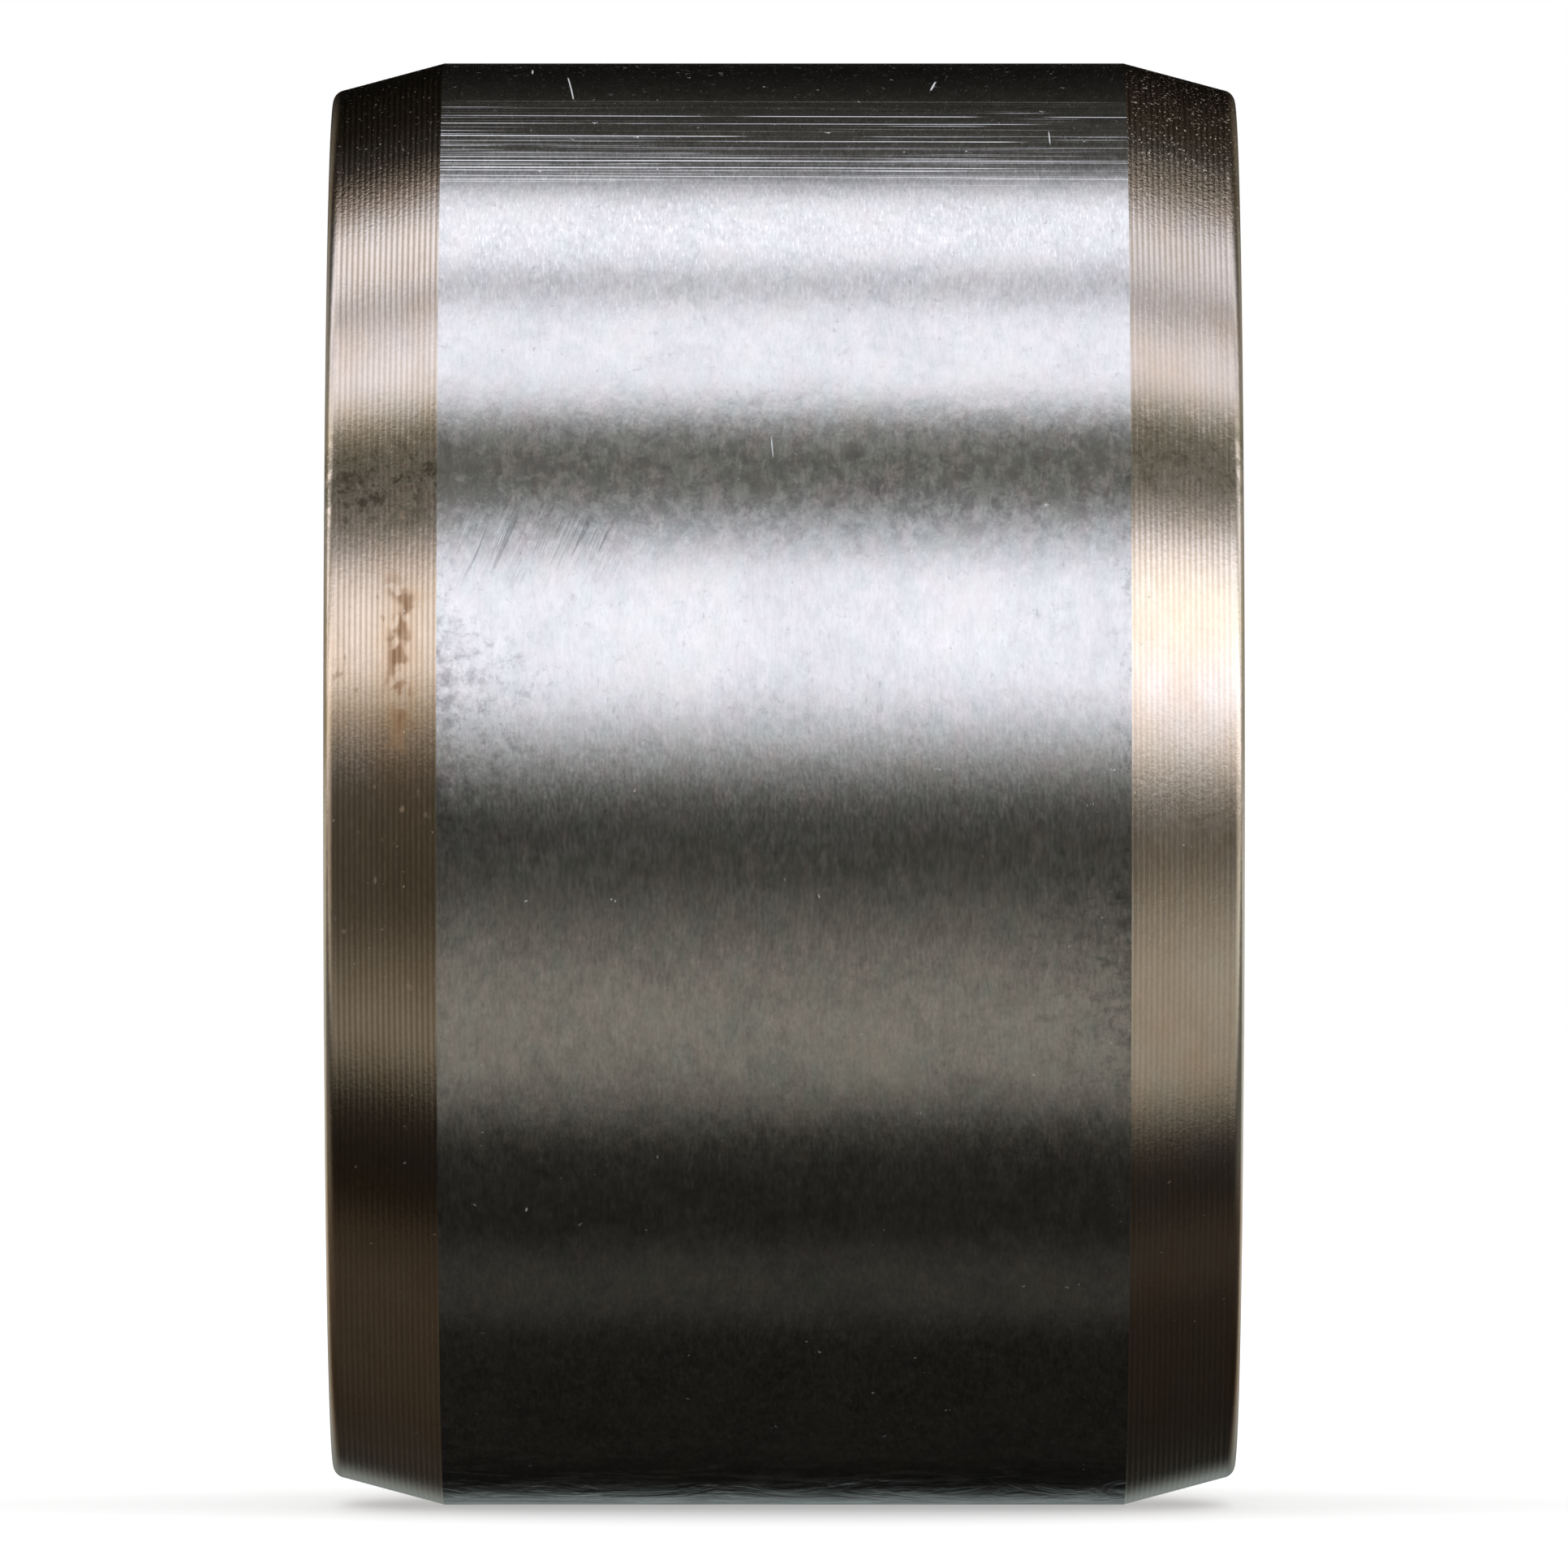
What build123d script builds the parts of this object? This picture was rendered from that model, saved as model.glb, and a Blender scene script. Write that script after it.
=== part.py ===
from build123d import *
import os
from math import asin, cos, degrees, radians, sin, tan

"""Rigid sleeve coupling: one short, thick steel sleeve that joins two keyed shafts end to end.

Frame: millimetres, +Z up, origin on the bore axis at mid length, +X along the bore axis.
The sleeve's outside is a cylinder between two lead-in tapers. Inside are a round bore with
a keyway, and a spring stop ring at mid length that both shafts butt against.
Four socket set screws sit in two rows on the +Y side, 90 degrees apart: one row over the
keyway, the other straight onto the shafts. Each screw turns on the stem of a brass pad,
which moves in and out with it and keeps the screw's point off the shaft.
Directions around the bore axis are in degrees from +Y towards +Z.
"""

# ---- sleeve ----
sleeve_od = 80.0
sleeve_len = 50.0
taper_len = 6.15            # axial length of each lead-in taper
taper_deg = 15.0
rim_round = 0.7             # rounding where a taper meets an end face
bore_d = 40.0
mouth_chamfer = 1.5         # 45 degree chamfer at each bore mouth

sleeve_r = sleeve_od / 2
half_len = sleeve_len / 2
rim_r = sleeve_r - taper_len * tan(radians(taper_deg))
bore_r = bore_d / 2
overshoot = 1.0             # how far a cut runs past the surface it opens through

# ---- keyway (12 x 8 parallel key) ----
key_deg = 45.0
key_w = 12.0
key_hub_depth = 3.3         # depth beyond the bore wall, on the key's centre line
keyway_corner_r = 0.3
keyway_floor_r = bore_r + key_hub_depth

# ---- stop ring (internal spring ring for a 40 mm bore) ----
ring_od = 42.46
ring_t = 1.75
groove_d = 42.5
groove_w = ring_t + 0.1
ring_back_w = 3.9           # radial width opposite the gap
ring_lug_w = 2.3            # radial width of the band where it meets the lugs
ring_gap_deg = 32.0         # open angle between the lugs' facing sides
lug_r = 2.75
lug_hole_d = 2.5
lug_reach = 5.8             # from the ring's outside to the lug's innermost point
lug_blend_r = 1.0
lug_corner_margin = 0.6     # corners this far outside the band's inner edge still get blended

# ---- pads ----
pad_d = 8.0
pad_t = 3.0
pad_chamfer = 0.4
stem_d = 4.0
stem_len = 2.0
stem_chamfer = 0.3
pad_gap = 0.03              # axial play between pad and screw point
tip_clear = 0.2             # from a pad's tip out of the bore or the keyway floor

# ---- set screws ----
screw_d = 10.0              # M10, thread drawn as a plain cylinder at its full diameter
screw_len = 10.0
screw_chamfer = 0.9         # at the socket end
point_chamfer = 1.1
stem_bore_d = stem_d + 0.2
stem_bore_depth = stem_len + 0.3
socket_af = 5.0
socket_depth = 4.4
socket_csk_d = 6.3
hole_clear = 0.06           # radial clearance of a screw in its hole
hole_csk_d = 11.4           # 90 degree countersink at the outside surface

# ---- screw layout ----
screw_x = 12.5
ends = {"left": -screw_x, "right": screw_x}
# row: (direction, radius of a pad's tip)
rows = {
    "key": (key_deg, keyway_floor_r + tip_clear),
    "shaft": (key_deg - 90, bore_r + tip_clear),
}


def outward(deg):
    """Unit vector out from the bore axis."""
    return Vector(0, cos(radians(deg)), sin(radians(deg)))


def cross_plane(x, deg):
    """A plane square to the bore axis at x, with its own x pointing out at deg."""
    return Plane(origin=(x, 0, 0), x_dir=outward(deg), z_dir=(1, 0, 0))


def row_plane(x, deg):
    """A plane through the bore axis at x, square to a screw: its z points out at deg."""
    return Plane(origin=(x, 0, 0), x_dir=(1, 0, 0), z_dir=outward(deg))


def save(part, name):
    part.label = name
    export_step(part, f"parts/{name}.step")


def make_sleeve():
    with BuildPart() as sleeve:
        # half section, turned about the bore axis
        with BuildSketch(Plane.XY) as half_section:
            with BuildLine():
                Polyline(
                    (-half_len, bore_r + mouth_chamfer),
                    (-half_len, rim_r),
                    (-half_len + taper_len, sleeve_r),
                    (half_len - taper_len, sleeve_r),
                    (half_len, rim_r),
                    (half_len, bore_r + mouth_chamfer),
                    (half_len - mouth_chamfer, bore_r),
                    (groove_w / 2, bore_r),
                    (groove_w / 2, groove_d / 2),
                    (-groove_w / 2, groove_d / 2),
                    (-groove_w / 2, bore_r),
                    (-half_len + mouth_chamfer, bore_r),
                    close=True,
                )
            make_face()
            rim_corners = half_section.vertices().filter_by_position(
                Axis.Y, rim_r - 0.01, rim_r + 0.01
            )
            fillet(rim_corners, radius=rim_round)
        revolve(axis=Axis.X)

        # keyway, right through
        keyway_plane = cross_plane(-half_len - overshoot, key_deg)
        with BuildSketch(keyway_plane) as keyway:
            with Locations((keyway_floor_r / 2, 0)):
                Rectangle(keyway_floor_r, key_w)
            floor_corners = keyway.vertices().filter_by(
                lambda v: v.distance_to(keyway_plane.origin) > bore_r
            )
            fillet(floor_corners, radius=keyway_corner_r)
        extrude(amount=sleeve_len + 2 * overshoot, mode=Mode.SUBTRACT)

        # set screw holes with their countersinks
        hole_r = screw_d / 2 + hole_clear
        csk_depth = hole_csk_d / 2 - hole_r
        for x in ends.values():
            for deg, _ in rows.values():
                with BuildSketch(row_plane(x, deg)):
                    Circle(hole_r)
                extrude(amount=sleeve_r + overshoot, mode=Mode.SUBTRACT)
                with BuildSketch(row_plane(x, deg).offset(sleeve_r - csk_depth)):
                    Circle(hole_r)
                extrude(amount=csk_depth + overshoot, taper=-45, mode=Mode.SUBTRACT)
    return sleeve.part


def make_stop_ring():
    """An open spring ring in the groove; its back is over the keyway, its gap opposite."""
    ring_r = ring_od / 2
    # The sketch's x runs through the middle of the gap.
    ring_plane = cross_plane(-ring_t / 2, key_deg + 180)
    mean_w = (ring_back_w + ring_lug_w) / 2
    inner_shift = (ring_back_w - ring_lug_w) / 2
    lug_centre_r = ring_r - lug_reach + lug_r
    lug_deg = ring_gap_deg / 2 + degrees(asin(lug_r / lug_centre_r))
    lug_places = dict(
        radius=lug_centre_r, count=2, start_angle=-lug_deg, angular_range=2 * lug_deg, endpoint=True
    )
    # corners of a wedge that reaches past the ring
    wedge_x = ring_od * cos(radians(lug_deg))
    wedge_y = ring_od * sin(radians(lug_deg))

    with BuildPart() as ring:
        with BuildSketch(ring_plane) as ring_face:
            # the band is widest opposite the gap, so that it springs in a round shape
            Circle(ring_r)
            with Locations((inner_shift, 0)):
                Circle(ring_r - mean_w, mode=Mode.SUBTRACT)
            # open the band between the two lugs' centres
            with BuildLine():
                Polyline((0, 0), (wedge_x, wedge_y), (wedge_x, -wedge_y), close=True)
            make_face(mode=Mode.SUBTRACT)
            # each lug is a round eye that runs into the band
            with PolarLocations(**lug_places):
                Circle(lug_r)
            corner_limit = ring_r - ring_lug_w + lug_corner_margin
            inner_corners = ring_face.vertices().filter_by(
                lambda v: v.distance_to(ring_plane.origin) < corner_limit
            )
            fillet(inner_corners, radius=lug_blend_r)
            # the eye holes come last, so that their vertices aren't picked above
            with PolarLocations(**lug_places):
                Circle(lug_hole_d / 2, mode=Mode.SUBTRACT)
        extrude(amount=ring_t)
    return ring.part


def make_pad(x, deg, tip):
    """A round pad with its tip at radius tip, and a stem on its outer side."""
    base = row_plane(x, deg)
    with BuildPart() as pad:
        with BuildSketch(base.offset(tip)):
            Circle(pad_d / 2)
        extrude(amount=pad_t)
        chamfer(pad.edges().filter_by(GeomType.CIRCLE), length=pad_chamfer)
        with BuildSketch(base.offset(tip + pad_t)):
            Circle(stem_d / 2)
        extrude(amount=stem_len)
        stem_end = pad.faces().sort_by(Axis((x, 0, 0), base.z_dir))[-1]
        chamfer(stem_end.edges(), length=stem_chamfer)
    return pad.part


def make_screw(x, deg, point):
    """A socket set screw with its point at radius point."""
    base = row_plane(x, deg)
    top = base.offset(point + screw_len)
    with BuildPart() as screw:
        with BuildSketch(base.offset(point)):
            Circle(screw_d / 2)
        extrude(amount=screw_len)
        end_edges = screw.edges().filter_by(GeomType.CIRCLE).sort_by(
            Axis((x, 0, 0), base.z_dir)
        )
        chamfer(end_edges[0], length=point_chamfer)
        chamfer(end_edges[-1], length=screw_chamfer)
        # blind bore in the point for the pad's stem
        with BuildSketch(base.offset(point)):
            Circle(stem_bore_d / 2)
        extrude(amount=stem_bore_depth, mode=Mode.SUBTRACT)
        # flat-floored hexagon socket with a conical lead-in
        with BuildSketch(top):
            RegularPolygon(socket_af / 2, 6, major_radius=False)
        extrude(amount=-socket_depth, mode=Mode.SUBTRACT)
        with BuildSketch(top):
            Circle(socket_csk_d / 2)
        extrude(amount=-(socket_csk_d - socket_af) / 2, taper=45, mode=Mode.SUBTRACT)
    return screw.part


os.makedirs("parts", exist_ok=True)
save(make_sleeve(), "coupling_sleeve")
save(make_stop_ring(), "stop_ring")
for end, x in ends.items():
    for row, (deg, tip) in rows.items():
        save(make_pad(x, deg, tip), f"shaft_pad_{end}_{row}")
        save(make_screw(x, deg, tip + pad_t + pad_gap), f"set_screw_{end}_{row}")
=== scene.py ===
"""Rigid sleeve coupling: the looks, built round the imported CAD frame."""

import math

import bpy
import numpy as np
from mathutils import Matrix, Vector


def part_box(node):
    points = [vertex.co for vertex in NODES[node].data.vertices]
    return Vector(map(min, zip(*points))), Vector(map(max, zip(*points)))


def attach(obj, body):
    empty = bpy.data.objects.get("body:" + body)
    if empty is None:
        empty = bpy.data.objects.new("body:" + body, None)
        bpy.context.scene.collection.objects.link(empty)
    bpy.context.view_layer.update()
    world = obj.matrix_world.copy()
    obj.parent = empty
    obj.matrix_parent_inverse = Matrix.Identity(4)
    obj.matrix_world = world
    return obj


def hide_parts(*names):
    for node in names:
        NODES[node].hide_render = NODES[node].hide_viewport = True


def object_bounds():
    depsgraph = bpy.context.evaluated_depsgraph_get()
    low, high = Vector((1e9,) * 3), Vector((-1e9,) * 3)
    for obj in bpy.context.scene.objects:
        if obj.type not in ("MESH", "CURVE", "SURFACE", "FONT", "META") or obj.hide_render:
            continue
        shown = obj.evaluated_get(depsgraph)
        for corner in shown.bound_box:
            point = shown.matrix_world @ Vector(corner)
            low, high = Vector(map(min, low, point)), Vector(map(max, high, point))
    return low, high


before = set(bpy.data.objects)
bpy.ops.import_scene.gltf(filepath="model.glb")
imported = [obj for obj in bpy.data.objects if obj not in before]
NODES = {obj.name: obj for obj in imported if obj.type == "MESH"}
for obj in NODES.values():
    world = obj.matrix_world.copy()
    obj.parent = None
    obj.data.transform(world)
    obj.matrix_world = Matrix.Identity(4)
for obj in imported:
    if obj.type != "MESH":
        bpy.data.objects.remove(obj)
cad_lo, cad_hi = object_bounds()
MM = 0.001
rng = np.random.default_rng(40)

# ---------------------------------------------------------------- dimensions, mm
lo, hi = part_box("coupling_sleeve")
HALF = (hi.x - lo.x) / 2 / MM
R_OUT = 40.0
TAPER = 6.15
TAN = math.tan(math.radians(15.0))
R_RIM = R_OUT - TAPER * TAN
RIM = 0.7
R_BORE = 20.0
MOUTH = 1.5
GROOVE_R = 21.25
GROOVE_W = 1.85
KEY_W, KEY_R = 12.0, 23.3
FEED = 0.305          # spacing of the turning grooves on the tapers
FEED_DEPTH = 0.0075
PITCH = 1.5


# ---------------------------------------------------------------- mesh helpers
def mesh_object(name, verts, faces):
    me = bpy.data.meshes.new(name)
    me.from_pydata([tuple(map(float, v)) for v in verts], [], [tuple(map(int, f)) for f in faces])
    me.update()
    o = bpy.data.objects.new(name, me)
    bpy.context.scene.collection.objects.link(o)
    return o


def drop(o):
    me = o.data
    bpy.data.objects.remove(o)
    if me.users == 0:
        bpy.data.meshes.remove(me)


def ring_lathe(name, profile, count):
    """A closed loop of (x, r) turned about X: a ring-shaped solid."""
    p = np.array(profile, float)
    area = np.sum(p[:, 0] * np.roll(p[:, 1], -1) - np.roll(p[:, 0], -1) * p[:, 1])
    if area > 0:
        p = p[::-1]
    m = len(p)
    a = np.arange(count) * 2 * math.pi / count
    verts = np.stack([
        np.repeat(p[:, 0], count),
        np.outer(p[:, 1], np.cos(a)).ravel(),
        np.outer(p[:, 1], np.sin(a)).ravel()], 1)
    j, k = np.meshgrid(np.arange(m), np.arange(count), indexing="ij")
    j2, k2 = (j + 1) % m, (k + 1) % count
    faces = np.stack([j * count + k, j2 * count + k, j2 * count + k2, j * count + k2], -1).reshape(-1, 4)
    return mesh_object(name, verts, faces[:, ::-1])


def solid_lathe(name, profile, count, place):
    """(z, r) pairs, first and last on the axis, turned about the local z of place: a solid of revolution."""
    p = profile
    a = [2 * math.pi * k / count for k in range(count)]
    verts = [(0, 0, p[0][0])]
    for z, r in p[1:-1]:
        verts += [(r * math.cos(t), r * math.sin(t), z) for t in a]
    verts.append((0, 0, p[-1][0]))
    rows = len(p) - 2
    faces = []
    for k in range(count):
        k2 = (k + 1) % count
        faces.append((0, 1 + k2, 1 + k))
        for j in range(rows - 1):
            b, c = 1 + j * count, 1 + (j + 1) * count
            faces.append((b + k, b + k2, c + k2, c + k))
        b = 1 + (rows - 1) * count
        faces.append((b + k, b + k2, len(verts) - 1))
    o = mesh_object(name, verts, faces)
    o.data.transform(place)
    return o


def prism(name, outline, z0, z1, place):
    n = len(outline)
    verts = [(x, y, z0) for x, y in outline] + [(x, y, z1) for x, y in outline]
    faces = [tuple(range(n))[::-1], tuple(range(n, 2 * n))]
    faces += [(k, (k + 1) % n, n + (k + 1) % n, n + k) for k in range(n)]
    o = mesh_object(name, verts, faces)
    o.data.transform(place)
    return o


def thread_solid(name, section, z0, z1, count, place):
    """A right-hand thread about local z. section is (phase, radius) pairs over one pitch; phase 0 is a crest's middle."""
    k = len(section)
    first = math.floor(z0 / PITCH - 1.0)
    turns = int(math.ceil((z1 - z0) / PITCH)) + 3
    steps = turns * count
    idx = lambda i, j: (i + count) * k if j == k else i * k + j
    verts = []
    for i in range(steps + count + 1):
        t = 2 * math.pi * i / count
        for ph, r in section:
            verts.append((r * math.cos(t), r * math.sin(t), PITCH * (first + i / count + ph)))
    faces = []
    for i in range(steps):
        for j in range(k):
            faces.append((idx(i, j), idx(i + 1, j), idx(i + 1, j + 1), idx(i, j + 1)))
    # close both ends with a fan to the axis
    low = [i * k for i in range(count + 1)] + [j for j in range(k - 1, 0, -1)]
    verts.append((0, 0, PITCH * (first + 0.5)))
    c = len(verts) - 1
    for a, b in zip(low, low[1:] + low[:1]):
        faces.append((b, a, c))
    top = [(steps + i) * k for i in range(count + 1)] + [steps * k + j for j in range(k - 1, 0, -1)]
    verts.append((0, 0, PITCH * (first + steps / count + 0.5)))
    c = len(verts) - 1
    for a, b in zip(top, top[1:] + top[:1]):
        faces.append((a, b, c))
    used = sorted({v for f in faces for v in f})
    new = {v: n for n, v in enumerate(used)}
    o = mesh_object(name, [verts[v] for v in used], [tuple(new[v] for v in f) for f in faces])
    o.data.transform(place)
    return o


def boolean(o, cutter, operation):
    m = o.modifiers.new("b", "BOOLEAN")
    m.operation, m.solver, m.object = operation, "MANIFOLD", cutter
    dg = bpy.context.evaluated_depsgraph_get()
    dg.update()
    made = bpy.data.meshes.new_from_object(o.evaluated_get(dg))
    if len(made.polygons) < 8:
        raise RuntimeError(f"{o.name}: boolean with {cutter.name} left nothing")
    o.modifiers.clear()
    old, o.data = o.data, made
    bpy.data.meshes.remove(old)
    made.name = o.name
    drop(cutter)


def along(x, deg):
    """Local z points out along a screw row, local x along the bore; the origin is on the bore axis."""
    w = Vector((0, math.cos(math.radians(deg)), math.sin(math.radians(deg))))
    u = Vector((1, 0, 0))
    v = w.cross(u)
    m = Matrix((u, v, w)).transposed().to_4x4()
    return Matrix.Translation((x, 0, 0)) @ m


def finish_mesh(o, sharp_deg):
    o.data.transform(Matrix.Scale(MM, 4))
    me = o.data
    me.polygons.foreach_set("use_smooth", [True] * len(me.polygons))
    me.set_sharp_from_angle(angle=math.radians(sharp_deg))
    me.update()


# ---------------------------------------------------------------- the sleeve
def taper_points():
    """The right-hand taper from the band to the rim, with its turning grooves: each is a shallow hollow between two ridges."""
    end = HALF - RIM + RIM * math.cos(math.radians(75))
    start = HALF - TAPER
    pts = [(start, R_OUT)]
    n = int((end - start) / FEED)
    for k in range(n + 1):
        a = start + k * FEED
        b = min(a + FEED, end)
        deep = FEED_DEPTH * (0.75 + 0.5 * rng.random()) * ((b - a) / FEED) ** 2
        if b - a < 0.05:
            break
        for u in (0.14, 0.38, 0.62, 0.86, 1.0):
            x = a + (b - a) * u
            d = deep * 4 * u * (1 - u)
            r = R_OUT - (x - start) * TAN
            pts.append((x - d * math.sin(math.radians(15)), r - d * math.cos(math.radians(15))))
    cx = HALF - RIM
    cr = R_RIM - RIM * math.tan(math.radians(37.5))
    first = True
    for q in np.linspace(75, 0, 9):
        if first and abs(pts[-1][0] - end) < 1e-6:
            first = False
            continue
        first = False
        pts.append((cx + RIM * math.cos(math.radians(q)), cr + RIM * math.sin(math.radians(q))))
    return pts


right = taper_points()
left = [(-x, r) for x, r in taper_points()]
profile = left[::-1] + right
profile += [
    (HALF, R_BORE + MOUTH), (HALF - MOUTH, R_BORE), (GROOVE_W / 2, R_BORE), (GROOVE_W / 2, GROOVE_R),
    (-GROOVE_W / 2, GROOVE_R), (-GROOVE_W / 2, R_BORE), (-HALF + MOUTH, R_BORE), (-HALF, R_BORE + MOUTH)]
sleeve = ring_lathe("coupling_sleeve_steel", profile, 240)

# keyway with rounded floor corners
rc = 0.3
floor_pts = [(-1 + R_BORE * 0.5, -KEY_W / 2), (KEY_R - rc, -KEY_W / 2)]
floor_pts += [(KEY_R - rc + rc * math.sin(q), -KEY_W / 2 + rc - rc * math.cos(q)) for q in np.radians([22.5, 45, 67.5, 90])]
floor_pts += [(x, -y) for x, y in floor_pts[::-1]]
ka = math.radians(45)
kx, ky = Vector((0, math.cos(ka), math.sin(ka))), Vector((0, -math.sin(ka), math.cos(ka)))
kz = Vector((1, 0, 0))
keyway_place = Matrix((kx, ky, kz)).transposed().to_4x4()
boolean(sleeve, prism("keyway", floor_pts, -HALF - 1, HALF + 1, keyway_place), "DIFFERENCE")

ROWS = {"key": 45.0, "shaft": -45.0}
ENDS = {"left": -12.5, "right": 12.5}
inner = [(-0.066, 5.05), (0.066, 5.05), (0.3715, 4.19), (0.6285, 4.19)]
outer = [(-0.0625, 4.94), (0.0625, 4.94), (0.375, 4.06), (0.625, 4.06)]
for end, hx in ENDS.items():
    for row, deg in ROWS.items():
        place = along(hx, deg)
        boolean(sleeve, thread_solid("tap", inner, 16.0, 41.5, 40, place), "DIFFERENCE")
        cone = [(34.0, 0), (34.0, 0.2), (R_OUT - 5.7 + 0.2, 0.2), (R_OUT + 0.4, 6.1), (R_OUT + 3, 6.1), (R_OUT + 3, 0)]
        boolean(sleeve, solid_lathe("countersink", cone, 64, place), "DIFFERENCE")


def sleeve_faces():
    """Sorts the sleeve's faces into the surfaces they were made by, and gives the round ones their true normals."""
    me = sleeve.data
    n = len(me.polygons)
    c, no = np.zeros(n * 3), np.zeros(n * 3)
    me.polygons.foreach_get("center", c)
    me.polygons.foreach_get("normal", no)
    c, no = c.reshape(-1, 3), no.reshape(-1, 3)
    r = np.hypot(c[:, 1], c[:, 2])
    rad = (c[:, 1] * no[:, 1] + c[:, 2] * no[:, 2]) / np.maximum(r, 1e-9)
    x = np.abs(c[:, 0])
    kind = np.full(n, 5)                                             # 5 tapped hole
    a = c[:, 1:] @ np.array([math.cos(ka), math.sin(ka)])
    b = c[:, 1:] @ np.array([-math.sin(ka), math.cos(ka)])
    kind[(a > 18) & (np.abs(b) < 6.01) & (r < 24.3) & ((np.abs(np.abs(b) - 6) < 0.31) | (np.abs(a - KEY_R) < 0.31))] = 4
    hole = np.zeros(n, bool)
    for hx in ENDS.values():
        for deg in ROWS.values():
            w = np.array([0, math.cos(math.radians(deg)), math.sin(math.radians(deg))])
            d = c - np.array([hx, 0, 0])
            t = d @ w
            off = np.linalg.norm(d - np.outer(t, w), axis=1)
            hole |= (t > 18) & (off < 5.75) & (np.abs(no @ w) < 0.99)
    plain_wall = (np.abs(r - R_BORE) < 0.06) & (rad < -0.99)
    kind[plain_wall] = 3
    kind[(r < R_BORE + MOUTH + 0.02) & (x > HALF - MOUTH - 0.01) & (rad < -0.5) & ~hole & (kind != 4)] = 3
    kind[(x < GROOVE_W / 2 + 0.01) & (r < GROOVE_R + 0.1) & ~hole & (kind != 4)] = 3
    kind[(x > HALF - 1e-3) & (np.abs(no[:, 0]) > 0.99)] = 2
    kind[(r > 37.3) & (rad > 0.1) & (x > HALF - TAPER)] = 1
    kind[(np.abs(r - R_OUT) < 0.05) & (rad > 0.99) & (x < HALF - TAPER)] = 0
    me.materials.clear()
    for _ in range(6):
        me.materials.append(None)
    me.polygons.foreach_set("material_index", kind.astype(np.int32))
    finish_mesh(sleeve, 12)
    me = sleeve.data
    loops = len(me.loops)
    cn = np.zeros(loops * 3, np.float32)
    me.corner_normals.foreach_get("vector", cn)
    cn = cn.reshape(-1, 3)
    vi = np.zeros(loops, np.int32)
    me.loops.foreach_get("vertex_index", vi)
    co = np.zeros(len(me.vertices) * 3, np.float32)
    me.vertices.foreach_get("co", co)
    co = co.reshape(-1, 3)[vi]
    start, total = np.zeros(n, np.int32), np.zeros(n, np.int32)
    me.polygons.foreach_get("loop_start", start)
    me.polygons.foreach_get("loop_total", total)
    of_face = np.repeat(np.arange(n), total)
    rr = np.hypot(co[:, 1], co[:, 2])[:, None]
    radial = np.concatenate([np.zeros((loops, 1)), co[:, 1:] / np.maximum(rr, 1e-9)], 1)
    cn[(kind == 0)[of_face]] = radial[(kind == 0)[of_face]]
    cn[plain_wall[of_face]] = -radial[plain_wall[of_face]]
    me.normals_split_custom_set([tuple(v) for v in cn])


sleeve_faces()
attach(sleeve, "sleeve")
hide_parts("coupling_sleeve")

# ---------------------------------------------------------------- the set screws
SCREWS = {}
for end, hx in ENDS.items():
    for row, deg in ROWS.items():
        node = f"set_screw_{end}_{row}"
        w = np.array([0, math.cos(math.radians(deg)), math.sin(math.radians(deg))])
        co = np.array([v.co for v in NODES[node].data.vertices], float) / MM
        z = co @ w
        z0, z1 = z.min(), z.max()
        place = along(hx, deg)
        body = thread_solid(f"set_screw_thread_{end}_{row}", outer, z0, z1, 48, place)
        blank = [(z0, 0), (z0, 3.85), (z0 + 0.06, 3.96), (z0 + 1.1, 4.99), (z1 - 0.9, 4.99), (z1 - 0.05, 4.14), (z1, 4.02), (z1, 0)]
        boolean(body, solid_lathe("blank", blank, 96, place), "INTERSECT")
        hexa = [(2.5 / math.cos(math.pi / 6) * math.cos(math.radians(60 * k)), 2.5 / math.cos(math.pi / 6) * math.sin(math.radians(60 * k))) for k in range(6)]
        boolean(body, prism("hex", hexa, z1 - 4.4, z1 + 1, place), "DIFFERENCE")
        drill = [(z1 - 5.35, 0), (z1 - 5.35, 0.02), (z1 - 4.0, 2.35), (z1 - 3.9, 0)]
        boolean(body, solid_lathe("drill", drill, 48, place), "DIFFERENCE")
        lead = [(z1 - 3.15, 0), (z1 - 3.15, 0.02), (z1 + 0.5, 3.67), (z1 + 0.6, 3.67), (z1 + 0.6, 0)]
        boolean(body, solid_lathe("lead", lead, 64, place), "DIFFERENCE")
        stem = [(z0 - 1, 0), (z0 - 1, 2.1), (z0 + 2.3, 2.1), (z0 + 2.3, 0)]
        boolean(body, solid_lathe("stem", stem, 48, place), "DIFFERENCE")
        finish_mesh(body, 22)
        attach(body, f"screw_{end}_{row}")
        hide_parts(node)
        SCREWS[(end, row)] = (body, hx, deg, z1)


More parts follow.
